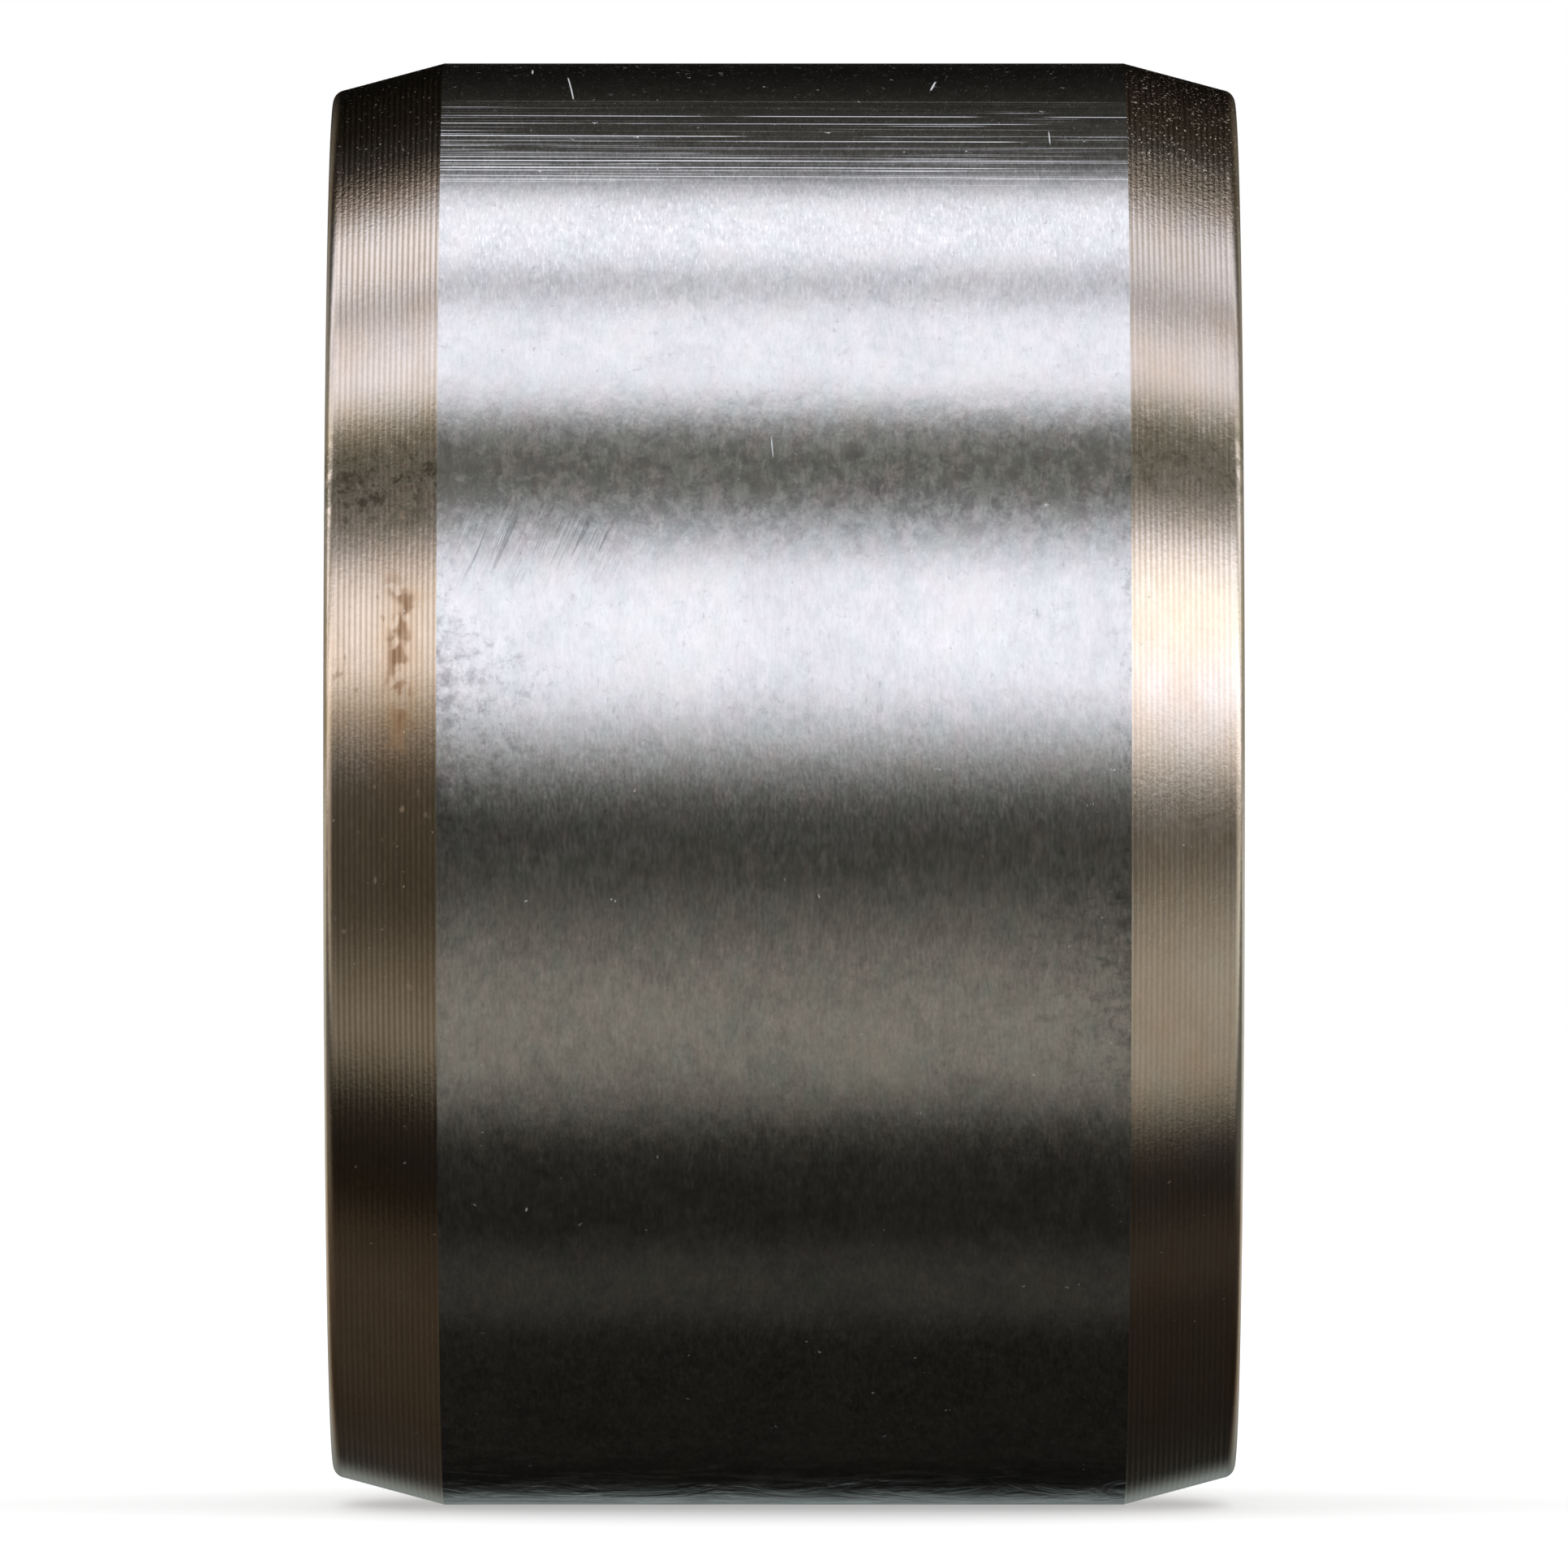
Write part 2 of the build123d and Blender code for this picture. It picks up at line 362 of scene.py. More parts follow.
# ---------------------------------------------------------------- shader helpers
class Shade:
    """Short names for building node trees. Values may be sockets or numbers."""

    def __init__(self, tree):
        self.t = tree

    def node(self, kind, **props):
        n = self.t.nodes.new(kind)
        for k, v in props.items():
            setattr(n, k, v)
        return n

    def put(self, sock, v):
        if v is None:
            return
        if isinstance(v, bpy.types.NodeSocket):
            self.t.links.new(v, sock)
        elif isinstance(v, (tuple, list)) and len(v) == 3 and sock.type == "RGBA":
            sock.default_value = (*v, 1.0)
        else:
            sock.default_value = v

    def m(self, op, a, b=None, c=None, clamp=False):
        n = self.node("ShaderNodeMath", operation=op, use_clamp=clamp)
        for s, v in zip(n.inputs, (a, b, c)):
            self.put(s, v)
        return n.outputs[0]

    def v(self, op, a, b=None, scale=None):
        n = self.node("ShaderNodeVectorMath", operation=op)
        self.put(n.inputs[0], a)
        if b is not None:
            self.put(n.inputs[1], b)
        if scale is not None:
            self.put(n.inputs[3], scale)
        return n.outputs["Value"] if op in ("DOT_PRODUCT", "LENGTH", "DISTANCE") else n.outputs[0]

    def ramp(self, v, a, b, c=0.0, d=1.0, smooth=True):
        n = self.node("ShaderNodeMapRange", interpolation_type="SMOOTHSTEP" if smooth else "LINEAR", clamp=True)
        for s, x in zip(n.inputs, (v, a, b, c, d)):
            self.put(s, x)
        return n.outputs[0]

    def window(self, v, a, b, soft):
        """1 between a and b, falling to 0 over soft on each side."""
        return self.m("MULTIPLY", self.ramp(v, a - soft, a + soft), self.ramp(v, b - soft, b + soft, 1.0, 0.0))

    def noise(self, vec, scale=1.0, detail=2.0, rough=0.5, distort=0.0):
        n = self.node("ShaderNodeTexNoise")
        self.put(n.inputs["Vector"], vec)
        self.put(n.inputs["Scale"], scale)
        self.put(n.inputs["Detail"], detail)
        self.put(n.inputs["Roughness"], rough)
        self.put(n.inputs["Distortion"], distort)
        return n.outputs["Fac"]

    def voronoi(self, vec, scale=1.0, feature="F1", rand=1.0):
        n = self.node("ShaderNodeTexVoronoi", feature=feature)
        self.put(n.inputs["Vector"], vec)
        self.put(n.inputs["Scale"], scale)
        self.put(n.inputs["Randomness"], rand)
        return n.outputs["Distance"], n.outputs["Color"]

    def mix(self, f, a, b, blend="MIX"):
        n = self.node("ShaderNodeMix", data_type="RGBA", blend_type=blend, clamp_factor=True)
        self.put(n.inputs[0], f)
        self.put(n.inputs[6], a)
        self.put(n.inputs[7], b)
        return n.outputs[2]

    def lerp(self, f, a, b):
        n = self.node("ShaderNodeMix", data_type="FLOAT", clamp_factor=True)
        self.put(n.inputs[0], f)
        self.put(n.inputs[2], a)
        self.put(n.inputs[3], b)
        return n.outputs[0]

    def xyz(self, x, y, z):
        n = self.node("ShaderNodeCombineXYZ")
        for s, v in zip(n.inputs, (x, y, z)):
            self.put(s, v)
        return n.outputs[0]

    def split(self, vec):
        n = self.node("ShaderNodeSeparateXYZ")
        self.put(n.inputs[0], vec)
        return n.outputs

    def grey(self, v):
        n = self.node("ShaderNodeCombineColor")
        for s in n.inputs:
            self.put(s, v)
        return n.outputs[0]

    def bump(self, height, dist, strength=1.0, normal=None):
        n = self.node("ShaderNodeBump")
        self.put(n.inputs["Strength"], strength)
        self.put(n.inputs["Distance"], dist)
        self.put(n.inputs["Height"], height)
        if normal is not None:
            self.put(n.inputs["Normal"], normal)
        return n.outputs[0]


def material(name):
    mat = bpy.data.materials.new(name)
    mat.use_nodes = True
    t = mat.node_tree
    t.nodes.clear()
    s = Shade(t)
    out = s.node("ShaderNodeOutputMaterial")
    bsdf = s.node("ShaderNodeBsdfPrincipled")
    t.links.new(bsdf.outputs[0], out.inputs[0])
    obj = s.node("ShaderNodeTexCoord").outputs["Object"]
    mm = s.v("SCALE", obj, scale=1000.0)
    return mat, s, bsdf, out, mm


def around(s, mm):
    """(x, radius, angle in degrees with 0 at the front and 90 on top) of a point, in millimetres."""
    x, y, z = s.split(mm)
    r = s.m("SQRT", s.m("ADD", s.m("MULTIPLY", y, y), s.m("MULTIPLY", z, z)))
    th = s.m("MULTIPLY", s.m("ARCTAN2", z, s.m("MULTIPLY", y, -1.0)), 180.0 / math.pi)
    return x, y, z, r, th


def scaled(s, mm, a, b, c=None):
    return s.v("MULTIPLY", mm, (a, b, b if c is None else c))


def circular(s, bsdf, amount):
    """Stretches highlights across marks that run round the bore axis."""
    t = s.node("ShaderNodeTangent", direction_type="RADIAL", axis="X")
    s.put(bsdf.inputs["Tangent"], t.outputs[0])
    bsdf.inputs["Anisotropic"].default_value = amount
    bsdf.inputs["Anisotropic Rotation"].default_value = 0.25


# ---------------------------------------------------------------- ground band
def tilted(s, normal, y, z, r, mask, amount):
    """Leans a normal round the bore axis towards the front, where mask is 1: the lit flank of a scratch."""
    side = s.xyz(0.0, s.m("MULTIPLY", s.m("DIVIDE", z, r), -1.0), s.m("DIVIDE", y, r))
    return s.v("NORMALIZE", s.v("ADD", normal, s.v("SCALE", side, scale=s.m("MULTIPLY", mask, amount))))


def ground_steel():
    mat, s, b, out, mm = material("ground_steel")
    x, y, z, r, th = around(s, mm)
    fine = s.noise(scaled(s, mm, 5.6, 1.5), 1.0, 3.0, 0.65)
    strokes = s.noise(scaled(s, mm, 8.5, 1.4), 1.0, 2.0, 0.6)
    mid = s.noise(scaled(s, mm, 1.3, 0.75), 1.0, 3.0, 0.6)
    cloud = s.noise(scaled(s, mm, 0.22, 0.22), 1.0, 3.0, 0.6, 0.4)
    grit = s.noise(scaled(s, mm, 5.0, 3.2), 1.0, 2.0, 0.7)
    mottle = s.noise(scaled(s, mm, 1.15, 1.0), 1.0, 5.0, 0.74, 0.3)

    # long thin scratches along the bore axis, in a belt near the top
    belt = s.window(th, 55.4, 69.6, 0.7)
    fade = s.noise(s.xyz(s.m("MULTIPLY", x, 0.11), s.m("MULTIPLY", th, 1.7), 3.3), 1.0, 1.0, 0.5)
    fade = s.ramp(s.m("SUBTRACT", fade, s.m("MULTIPLY", x, 0.007)), 0.36, 0.56, 0.28, 1.0)
    lay = s.m("ADD", th, s.m("MULTIPLY", x, 0.010))
    bold = s.ramp(s.noise(s.xyz(s.m("MULTIPLY", x, 0.016), s.m("MULTIPLY", lay, 4.6), 0.7), 1.0, 0.0, 0.5), 0.68, 0.74)
    thin = s.ramp(s.noise(s.xyz(s.m("MULTIPLY", x, 0.03), s.m("MULTIPLY", lay, 9.5), 5.1), 1.0, 0.0, 0.5), 0.60, 0.70)
    line = s.m("MULTIPLY", s.m("MAXIMUM", s.m("MULTIPLY", bold, 1.0), s.m("MULTIPLY", thin, 0.62)), s.m("MULTIPLY", fade, belt))
    # a few single lines
    for at, x0, x1, w, k in ((69.9, -19, 19, 0.06, 0.8), (61.9, -19, 4, 0.02, 0.8), (57.6, -19, 12, 0.03, 0.95), (48.0, -12.5, -2.0, 0.0, 0.2), (43.9, -10.5, -4.0, 0.0, 0.15)):
        one = s.m("MULTIPLY", s.window(lay, at - w, at + w, 0.07), s.window(x, x0, x1, 2.5))
        line = s.m("MAXIMUM", line, s.m("MULTIPLY", one, k))

    # short oblique rubs on the upper left
    arc = s.m("MULTIPLY", th, 0.698)
    u = s.m("SUBTRACT", s.m("MULTIPLY", x, 0.93), s.m("MULTIPLY", arc, 0.36))
    v = s.m("ADD", s.m("MULTIPLY", x, 0.36), s.m("MULTIPLY", arc, 0.93))
    rub = s.noise(s.xyz(s.m("MULTIPLY", u, 2.3), s.m("MULTIPLY", v, 0.17), 8.1), 1.0, 2.0, 0.6)
    rub_area = s.m("MULTIPLY", s.window(x, -18.0, -8.8, 1.4), s.window(th, 16.5, 21.5, 2.0))
    rub_l = s.m("MULTIPLY", s.ramp(rub, 0.54, 0.66), rub_area)
    rub_d = s.m("MULTIPLY", s.ramp(rub, 0.46, 0.36), rub_area)

    # dark specks and short dark dashes: two worn areas near the edges, and a few over the rest
    speck = s.noise(scaled(s, mm, 3.4, 1.5), 1.0, 2.0, 0.6)
    dash = s.noise(scaled(s, mm, 1.25, 3.2), 1.0, 2.0, 0.6)
    smear = s.noise(scaled(s, mm, 1.25, 1.25), 1.0, 4.0, 0.7)
    a1 = s.m("MULTIPLY", s.ramp(x, -11.5, -18.5), s.window(th, -3.5, 12.5, 3.5))
    a2 = s.m("MULTIPLY", s.ramp(x, 11.0, 18.6), s.window(th, -23.0, -6.0, 4.0))
    a3 = s.m("MULTIPLY", s.ramp(s.m("ABSOLUTE", x), 17.2, 18.8), s.window(th, -30.0, 30.0, 9.0))
    worn = s.m("ADD", s.m("ADD", s.m("MULTIPLY", a1, 0.105), s.m("MULTIPLY", a2, 0.085)), s.m("MULTIPLY", a3, 0.06))
    dark = s.m("MULTIPLY", s.ramp(s.m("ADD", speck, s.m("MULTIPLY", worn, 0.9)), 0.62, 0.92), 0.8)
    dark = s.m("MAXIMUM", dark, s.m("MULTIPLY", s.ramp(s.m("ADD", dash, s.m("MULTIPLY", worn, 1.1)), 0.62, 0.98), s.ramp(worn, 0.015, 0.06, 0.0, 0.9)))
    dark = s.m("MAXIMUM", dark, s.ramp(s.m("ADD", smear, s.m("MULTIPLY", worn, 1.6)), 0.56, 0.92))
    dark = s.m("MULTIPLY", dark, s.m("ADD", 0.55, s.m("MULTIPLY", mottle, 0.9)))
    # a grimy belt, where the skin is thin and blotched
    grime = s.m("MULTIPLY", s.window(th, 19.5, 30.0, 4.5), s.ramp(s.m("ADD", s.m("MULTIPLY", mottle, 0.80), s.m("MULTIPLY", cloud, 0.30)), 0.45, 0.64))
    low = s.m("MULTIPLY", s.window(th, -9.0, 3.0, 5.0), s.ramp(s.m("ADD", s.m("MULTIPLY", mottle, 0.6), s.m("MULTIPLY", cloud, 0.5)), 0.47, 0.68))

    # dust: irregular flecks, thicker on top and towards one end, and a few hairs
    bent = s.v("ADD", scaled(s, mm, 1.7, 1.9), s.v("SCALE", s.xyz(grit, fine, mottle), scale=1.6))
    d, col = s.voronoi(bent)
    many = s.m("MULTIPLY", s.window(th, 64.0, 118.0, 4.0), s.m("ADD", 0.05, s.m("MULTIPLY", s.ramp(s.m("ADD", cloud, s.m("MULTIPLY", x, 0.006)), 0.42, 0.66), 0.14)))
    pick = s.ramp(s.m("ADD", s.split(col)[0], many), 0.968, 0.980)
    dust = s.m("MULTIPLY", s.ramp(d, s.lerp(s.split(col)[1], 0.05, 0.22), 0.02), pick)
    for at, bend, t0, t1, w in ((-13.9, 0.0, 79.0, 80.6, 0.03), (-11.6, 0.05, 70.6, 77.0, 0.025), (8.1, -0.10, 73.0, 75.5, 0.04), (14.6, 0.03, 61.5, 63.5, 0.02), (-0.6, 0.06, 26.5, 28.0, 0.02)):
        lean = s.m("SUBTRACT", x, s.m("ADD", at, s.m("MULTIPLY", s.m("SUBTRACT", th, t0), -bend)))
        dust = s.m("MAXIMUM", dust, s.m("MULTIPLY", s.window(lean, -w, w, 0.03), s.window(th, t0, t1, 0.4)))

    # the surface reads rougher where it mirrors the dark side of the room: its colour's grain and blotches are made
    # stronger there, painted light and shade standing in for light its roughness scatters
    deep = s.window(th, -130.0, 3.0, 7.0)
    upper = s.window(th, 41.0, 125.0, 7.0)
    crisp = s.m("ADD", s.m("ADD", 0.34, s.m("MULTIPLY", upper, 0.34)), s.m("MULTIPLY", deep, 0.34))
    tone = s.m("ADD", 1.0, s.m("MULTIPLY", s.m("SUBTRACT", fine, 0.5), crisp))
    tone = s.m("ADD", tone, s.m("MULTIPLY", s.m("SUBTRACT", mid, 0.5), s.lerp(deep, 0.32, 0.50)))
    tone = s.m("ADD", tone, s.m("MULTIPLY", s.m("SUBTRACT", grit, 0.5), s.lerp(deep, 0.12, 0.42)))
    tone = s.m("ADD", tone, s.m("MULTIPLY", s.m("SUBTRACT", mottle, 0.5), s.m("MULTIPLY", deep, 0.42)))
    tone = s.m("ADD", tone, s.m("MULTIPLY", s.m("SUBTRACT", cloud, 0.5), s.lerp(deep, 0.34, 0.60)))
    tone = s.m("ADD", tone, s.m("MULTIPLY", s.m("MULTIPLY", s.ramp(strokes, 0.55, 0.70), upper), 0.24))
    tone = s.m("MULTIPLY", tone, s.m("SUBTRACT", 1.0, s.m("MULTIPLY", dark, 0.50)))
    tone = s.m("MULTIPLY", tone, s.m("SUBTRACT", 1.0, s.m("MULTIPLY", rub_d, 0.30)))
    tone = s.m("MULTIPLY", tone, s.m("SUBTRACT", 1.0, s.m("MULTIPLY", grime, 0.42)))
    tone = s.m("MULTIPLY", tone, s.m("SUBTRACT", 1.0, s.m("MULTIPLY", low, 0.26)))
    # long dim smears along the sleeve, just below the middle
    smoke = s.noise(s.xyz(s.m("MULTIPLY", x, 0.075), s.m("MULTIPLY", th, 0.19), 4.1), 1.0, 2.0, 0.5, 0.3)
    tone = s.m("MULTIPLY", tone, s.m("SUBTRACT", 1.0, s.m("MULTIPLY", s.m("MULTIPLY", s.ramp(smoke, 0.47, 0.68), s.window(th, -4.5, -3.0, 2.5)), 0.30)))
    # oily streaks under the belly
    wet = s.noise(s.xyz(s.m("MULTIPLY", x, 0.14), s.m("MULTIPLY", y, 0.42), s.m("MULTIPLY", z, 0.42)), 1.0, 4.0, 0.65, 1.2)
    tone = s.m("MULTIPLY", tone, s.lerp(s.window(th, -98.0, -70.0, 5.0), 1.0, s.ramp(wet, 0.46, 0.62, 0.30, 1.0)))
    # small pits and grit on the upper shoulder
    pits = s.noise(scaled(s, mm, 3.0, 1.3), 1.0, 4.0, 0.75)
    pits = s.m("MULTIPLY", s.ramp(pits, 0.60, 0.72), s.window(th, 60.0, 88.0, 5.0))
    hue = s.m("ADD", s.noise(scaled(s, mm, 0.9, 0.5), 1.0, 4.0, 0.65), s.m("MULTIPLY", s.m("SUBTRACT", mid, 0.5), 0.3))
    hue = s.m("ADD", hue, s.m("MULTIPLY", s.window(th, -24.0, -10.0, 4.0), 0.06))
    hue = s.m("SUBTRACT", hue, s.m("MULTIPLY", s.m("ADD", s.window(th, 20.0, 30.0, 4.0), s.window(th, -9.0, 3.0, 4.0)), 0.06))
    murky = s.m("MAXIMUM", deep, s.window(th, 18.0, 31.0, 5.0))
    hue = s.m("ADD", 0.5, s.m("MULTIPLY", s.m("SUBTRACT", hue, 0.5), s.lerp(murky, 0.35, 1.0)))
    tint = s.mix(s.ramp(hue, 0.38, 0.62), (0.722, 0.755, 0.750), (0.768, 0.742, 0.746))
    base = s.mix(1.0, s.grey(tone), tint, "MULTIPLY")
    base = s.mix(s.m("MULTIPLY", s.ramp(cloud, 0.52, 0.7), 0.25), base, (0.70, 0.68, 0.61))
    # painted glint: the scratches are real marks, and their paler colour here stands in for the light they catch; the
    # dust flecks are paler by their own colour
    base = s.mix(s.m("MAXIMUM", s.m("MULTIPLY", line, 0.6), s.m("MULTIPLY", dust, 0.75)), base, (0.90, 0.93, 0.97))
    s.put(b.inputs["Base Color"], base)
    s.put(b.inputs["Metallic"], s.m("SUBTRACT", 1.0, s.m("MULTIPLY", dust, s.lerp(s.window(th, 55.0, 120.0, 4.0), 0.25, 0.75))))
    rough = s.m("ADD", 0.07, s.m("MULTIPLY", fine, 0.12))
    rough = s.m("ADD", rough, s.m("MULTIPLY", mid, 0.07))
    rough = s.m("ADD", rough, s.m("MULTIPLY", mottle, s.lerp(upper, 0.09, 0.04)))
    rough = s.lerp(s.m("MULTIPLY", rub_l, 0.6), rough, 0.40)
    rough = s.lerp(line, rough, 0.18)
    rough = s.lerp(s.m("MULTIPLY", pits, 0.7), rough, 0.55)
    rough = s.lerp(dust, rough, 0.9)
    s.put(b.inputs["Roughness"], rough)
    # waves that break up the reflection at the very bottom
    wavy = s.noise(s.xyz(s.m("MULTIPLY", x, 0.21), s.m("MULTIPLY", y, 0.24), s.m("MULTIPLY", z, 0.24)), 1.0, 3.0, 0.6, 1.4)
    wavy = s.m("MULTIPLY", wavy, s.m("MULTIPLY", s.window(th, -100.0, -69.0, 6.0), 12.0))
    h = s.m("ADD", s.m("MULTIPLY", s.lerp(upper, fine, strokes), s.lerp(upper, 0.45, 0.62)), s.m("MULTIPLY", mid, s.lerp(upper, 0.9, 0.25)))
    h = s.m("ADD", h, s.m("MULTIPLY", grit, 0.15))
    h = s.m("ADD", h, wavy)
    h = s.m("SUBTRACT", h, s.m("MULTIPLY", s.m("MAXIMUM", rub_l, rub_d), 0.35))
    n = s.bump(h, 0.0000085)
    s.put(b.inputs["Normal"], tilted(s, n, y, z, r, line, s.ramp(th, 60.0, 69.0, 0.17, 0.30)))
    circular(s, b, 0.55)
    return mat


# ---------------------------------------------------------------- turned tapers and rims
def turned_steel():
    mat, s, b, out, mm = material("turned_steel")
    x, y, z, r, th = around(s, mm)
    ax = s.m("ABSOLUTE", x)
    left = s.ramp(x, 1.0, -1.0)
    # place within one turning groove: 0 on the ridges, 1 in the hollow
    u = s.m("FRACT", s.m("DIVIDE", s.m("SUBTRACT", ax, HALF - TAPER), FEED))
    hollow = s.m("MULTIPLY", s.m("MULTIPLY", u, s.m("SUBTRACT", 1.0, u)), 4.0)
    rim = s.ramp(ax, HALF - 0.62, HALF - 0.35)
    hollow = s.m("MULTIPLY", hollow, s.m("SUBTRACT", 1.0, rim))
    fine = s.noise(scaled(s, mm, 8.0, 1.6), 1.0, 3.0, 0.65)
    cloud = s.noise(scaled(s, mm, 0.35, 0.16), 1.0, 3.0, 0.6, 0.6)
    patch = s.noise(scaled(s, mm, 0.5, 0.3, 0.3), 1.0, 4.0, 0.65, 0.8)
    grit = s.noise(scaled(s, mm, 4.5, 4.5), 1.0, 3.0, 0.7)
    mottle = s.noise(scaled(s, mm, 1.7, 1.7), 1.0, 5.0, 0.72, 0.4)

    # straw and brown oxide, deeper on the left end and lower down
    amount = s.m("ADD", s.lerp(left, 0.34, s.m("SUBTRACT", 0.82, s.m("MULTIPLY", s.window(th, 23.0, 150.0, 9.0), 0.42))), s.m("MULTIPLY", s.m("SUBTRACT", cloud, 0.5), 1.3))
    tint = s.mix(amount, (0.87, 0.80, 0.745), (0.80, 0.615, 0.445))
    # deeper gold on part of the left taper, next to the band
    gold = s.m("MULTIPLY", s.m("MULTIPLY", s.ramp(x, -23.6, -20.6), s.ramp(x, -15.0, -19.0)), s.window(th, -14.0, 12.5, 8.0))
    tint = s.mix(s.m("MULTIPLY", gold, 0.55), tint, (0.70, 0.50, 0.30))
    low = s.m("MULTIPLY", left, s.window(th, -150.0, -4.0, 8.0))
    tint = s.mix(s.m("MULTIPLY", low, 0.35), tint, (0.62, 0.50, 0.38))
    tone = s.m("ADD", 1.0, s.m("MULTIPLY", s.m("SUBTRACT", fine, 0.5), 0.30))
    tone = s.m("ADD", tone, s.m("MULTIPLY", s.m("SUBTRACT", patch, 0.5), 0.26))
    tone = s.m("ADD", tone, s.m("MULTIPLY", s.m("SUBTRACT", grit, 0.5), 0.22))
    # painted shade: both tapers a little darker between about 28 and 50 degrees up
    tone = s.m("MULTIPLY", tone, s.m("SUBTRACT", 1.0, s.m("MULTIPLY", s.window(th, 28.0, 50.0, 5.0), s.lerp(left, 0.13, 0.09))))
    # mottled dark skin on the shoulders, which also covers the grooves
    blobs = s.noise(scaled(s, mm, 1.0, 0.95), 1.0, 5.0, 0.74, 0.3)
    skin = s.m("ADD", s.m("MULTIPLY", blobs, 0.7), s.m("MULTIPLY", patch, 0.3))
    shade = s.window(s.m("ADD", th, s.lerp(left, -1.5, 0.8)), 21.0, 29.5, 3.5)
    shade = s.m("MAXIMUM", shade, s.m("MULTIPLY", s.m("MULTIPLY", s.window(th, -4.5, 1.0, 3.0), s.ramp(left, 1.0, 0.0)), 0.38))
    blot = s.m("MULTIPLY", s.ramp(skin, 0.41, 0.53), shade)
    valley = s.ramp(hollow, 0.62, 1.0)
    valley = s.m("MULTIPLY", valley, s.m("SUBTRACT", 1.0, s.m("MULTIPLY", blot, 0.9)))
    # clear: how strongly the grooves show, given angle by angle round the axis for each taper; it sets the painted
    # shade in the hollows below
    clear_l = s.m("SUBTRACT", s.m("ADD", 0.44, s.m("MULTIPLY", s.window(th, 42.0, 150.0, 4.0), 0.46)), s.m("MULTIPLY", s.window(th, -150.0, -30.0, 6.0), 0.30))
    clear_l = s.m("ADD", clear_l, s.m("MULTIPLY", s.m("MAXIMUM", s.window(th, 9.0, 22.0, 4.0), s.window(th, -24.0, -13.0, 4.0)), 0.24))
    clear_l = s.m("ADD", clear_l, s.m("MULTIPLY", s.window(th, 57.0, 125.0, 4.0), 0.5))
    clear_r = s.m("ADD", 0.24, s.m("MULTIPLY", s.window(th, 44.0, 150.0, 4.0), 0.45))
    clear_r = s.m("ADD", clear_r, s.m("MULTIPLY", s.m("MAXIMUM", s.window(th, 17.0, 31.0, 4.0), s.window(th, 57.0, 125.0, 4.0)), 0.5))
    clear = s.lerp(left, clear_r, clear_l)
    # painted shade: the groove hollows darkened by that amount; then the ridges paler and the hollows browner with
    # oxide, its contrast also set by angle
    tone = s.m("MULTIPLY", tone, s.m("SUBTRACT", 1.0, s.m("MULTIPLY", valley, s.m("MULTIPLY", clear, 0.40))))
    tint = s.mix(s.m("MULTIPLY", s.m("SUBTRACT", 1.0, hollow), s.m("MULTIPLY", clear, 0.45)), tint, (0.91, 0.885, 0.85))
    tint = s.mix(s.m("MULTIPLY", valley, s.m("MULTIPLY", clear, 0.5)), tint, (0.74, 0.63, 0.49))
    base = s.mix(1.0, tint, s.grey(tone), "MULTIPLY")
    base = s.mix(s.m("MULTIPLY", blot, s.lerp(left, 0.62, 0.78)), base, s.mix(s.ramp(s.m("ADD", s.m("MULTIPLY", mottle, 0.7), s.m("MULTIPLY", grit, 0.3)), 0.60, 0.40), (0.14, 0.13, 0.08), (0.52, 0.48, 0.37)))
    soot = s.m("MULTIPLY", blot, s.ramp(s.m("ADD", s.m("MULTIPLY", blobs, 0.5), s.m("ADD", s.m("MULTIPLY", mottle, 0.35), s.m("MULTIPLY", grit, 0.15))), 0.555, 0.46))
    soot = s.m("MULTIPLY", soot, s.lerp(left, 0.60, 0.95))
    base = s.mix(soot, base, (0.045, 0.041, 0.024))
    # painted shade: the tapers' colour darkened and tinted by place, in bands of angle round the axis set to how light
    # falls there: (angle from, to, softness), then the left and right taper's tints
    for t0, t1, soft, on_left, on_right in (
            (26.5, 32.0, 3.0, (0.83, 0.79, 0.67), (0.82, 0.80, 0.71)),
            (10.5, 17.0, 4.0, (0.97, 0.96, 0.92), (1.0, 0.99, 0.88)),
            (3.0, 7.0, 3.0, (0.77, 0.75, 0.66), (0.91, 0.90, 0.88)),
            (54.0, 61.0, 3.0, (0.90, 0.80, 0.68), (0.76, 0.70, 0.60)),
            (64.5, 96.0, 3.5, (0.66, 0.56, 0.40), (0.97, 0.78, 0.64)),
            (-66.0, -34.0, 5.0, (0.97, 0.88, 0.82), (0.97, 0.86, 0.80))):
        base = s.mix(s.window(th, t0, t1, soft), base, s.mix(1.0, base, s.mix(left, on_right, on_left), "MULTIPLY"))
    # the rounded rims: painted shade, darker and browner towards the top and the bottom, and a painted highlight, paler
    # on the right, low in front
    brown = s.m("MULTIPLY", rim, s.m("MAXIMUM", s.window(th, 54.0, 100.0, 8.0), s.window(th, -86.0, -50.0, 8.0)))
    base = s.mix(brown, base, s.mix(1.0, base, (0.50, 0.43, 0.34), "MULTIPLY"))
    rim_highlight = s.m("MULTIPLY", s.m("MULTIPLY", rim, s.window(th, -34.0, -10.0, 6.0)), s.ramp(left, 1.0, 0.0))
    base = s.mix(s.m("MULTIPLY", rim_highlight, 0.8), base, (0.98, 0.93, 0.86))
